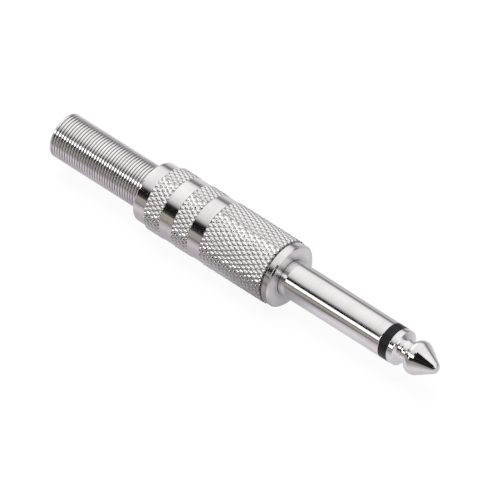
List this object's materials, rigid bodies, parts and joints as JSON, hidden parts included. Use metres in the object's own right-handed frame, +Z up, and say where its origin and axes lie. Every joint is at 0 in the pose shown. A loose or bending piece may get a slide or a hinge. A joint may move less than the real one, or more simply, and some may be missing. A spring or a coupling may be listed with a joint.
{
  "type": "jack plug",
  "caption": "Straight metal audio jack plug with a knurled screw-on shell and a close-wound spring at the cable end.",
  "frame": {"origin": "on the plug's axis, in the plane of the flange's front face, where the finger starts", "axes": "+X along the axis towards the tip; +Z up, away from the ground lug"},
  "size_m": [0.0814, 0.0116, 0.0116],
  "materials": {
    "bright_nickel": "polished nickel plate on brass",
    "nickel": "nickel plate on turned and knurled brass",
    "black_plastic": "gloss",
    "natural_plastic": "satin",
    "tinned_brass": "tin plate on brass sheet",
    "liner_plastic": "satin",
    "spring_steel": "nickel plated spring wire"
  },
  "bodies": {
    "plug": {"plug_sleeve": "bright_nickel", "threaded_body": "nickel", "tip_contact": "bright_nickel", "tip_insulator": "black_plastic", "core_insulator": "natural_plastic", "rear_insulator": "natural_plastic", "tip_lug": "tinned_brass", "ground_lug": "tinned_brass"},
    "spring": {"strain_relief_spring": "spring_steel", "insulating_liner": "liner_plastic"},
    "shell": {"shell": "nickel"}
  },
  "joints": [
    {"name": "shell_travel", "type": "slide", "parent": "plug", "child": "spring", "axis": [-1, 0, 0], "range_m": [0, 0.00562]},
    {"name": "shell_turn", "type": "hinge", "parent": "spring", "child": "shell", "pos_m": [-0.0155, 0, 0], "axis": [-1, 0, 0], "range_deg": [0, 2700]}
  ],
  "couplings": [
    {"joint": "shell_turn", "follows": "shell_travel", "rad_per_m": 8377.6}
  ]
}
